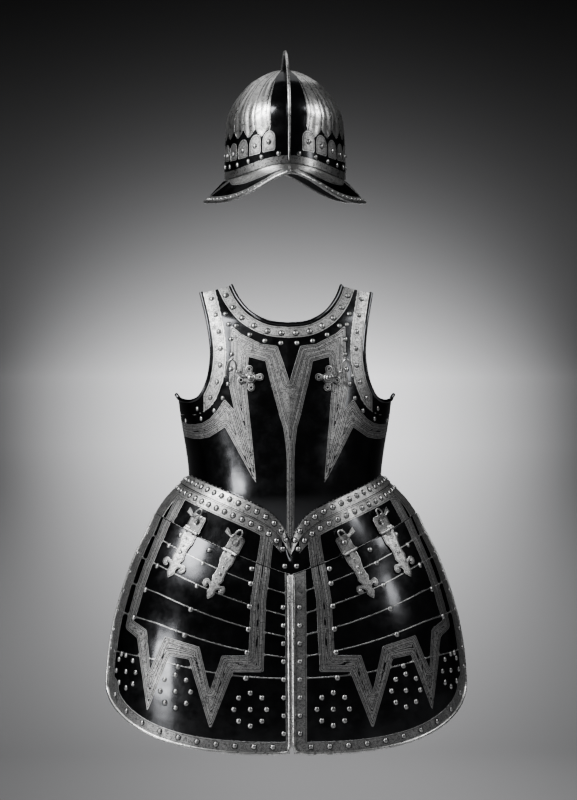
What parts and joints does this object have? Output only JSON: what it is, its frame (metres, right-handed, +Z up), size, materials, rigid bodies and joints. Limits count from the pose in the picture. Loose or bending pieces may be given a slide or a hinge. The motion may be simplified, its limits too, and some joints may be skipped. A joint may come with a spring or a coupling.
{
  "type": "suit of plate armour",
  "caption": "Foot soldier's armour: combed pot helmet with turned-down brim, breastplate with pointed waist and skirt lame, and a pair of wide tassets hung on hinged hasps.",
  "frame": {"origin": "on the centre-line at shoulder height, in the plane of the breastplate's side edges, where the wearer carries the armour", "axes": "+Z up, the front faces -Y, +X is the wearer's left"},
  "size_m": [0.5914, 0.4025, 1.1409],
  "materials": {
    "blackened_steel": "blackened and oiled steel, glossy",
    "bright_steel": "bright engraved steel, worn"
  },
  "bodies": {
    "armour": {"skull_right": "blackened_steel", "skull_left": "blackened_steel", "comb_edge": "bright_steel", "brim": "bright_steel", "breastplate": "blackened_steel", "skirt_lame": "blackened_steel", "hasp_plate_right_inner": "bright_steel", "hasp_plate_right_outer": "bright_steel", "hasp_plate_left_inner": "bright_steel", "hasp_plate_left_outer": "bright_steel", "hasp_pin_right_inner": "bright_steel", "hasp_pin_right_outer": "bright_steel", "hasp_pin_left_inner": "bright_steel", "hasp_pin_left_outer": "bright_steel", "hasp_stud_right_inner": "bright_steel", "hasp_stud_right_outer": "bright_steel", "hasp_stud_left_inner": "bright_steel", "hasp_stud_left_outer": "bright_steel", "hasp_hook_right_inner": "bright_steel", "hasp_hook_right_outer": "bright_steel", "hasp_hook_left_inner": "bright_steel", "hasp_hook_left_outer": "bright_steel", "rosette_right": "bright_steel", "rosette_left": "bright_steel", "rosette_rivet_right": "bright_steel", "rosette_rivet_left": "bright_steel"},
    "tasset_right_body": {"tasset_right": "blackened_steel", "hasp_strap_right_inner": "bright_steel", "hasp_strap_right_outer": "bright_steel"},
    "tasset_left_body": {"tasset_left": "blackened_steel", "hasp_strap_left_inner": "bright_steel", "hasp_strap_left_outer": "bright_steel"},
    "hook_right_body": {"swivel_hook_right": "bright_steel"},
    "hook_left_body": {"swivel_hook_left": "bright_steel"}
  },
  "joints": [
    {"name": "tasset_right_hinge", "type": "hinge", "parent": "armour", "child": "tasset_right_body", "pos_m": [0.09648, -0.16172, -0.42406], "axis": [-0.7881, -0.462, -0.4068], "range_deg": [0, 65]},
    {"name": "tasset_left_hinge", "type": "hinge", "parent": "armour", "child": "tasset_left_body", "pos_m": [-0.09648, -0.16172, -0.42406], "axis": [-0.7881, 0.462, 0.4068], "range_deg": [0, 65]},
    {"name": "hook_right_swivel", "type": "hinge", "parent": "armour", "child": "hook_right_body", "pos_m": [0.062, -0.13098, -0.147], "axis": [0.235, -0.938, 0.2548], "continuous": true},
    {"name": "hook_left_swivel", "type": "hinge", "parent": "armour", "child": "hook_left_body", "pos_m": [-0.062, -0.13098, -0.147], "axis": [-0.235, -0.938, 0.2548], "continuous": true}
  ]
}
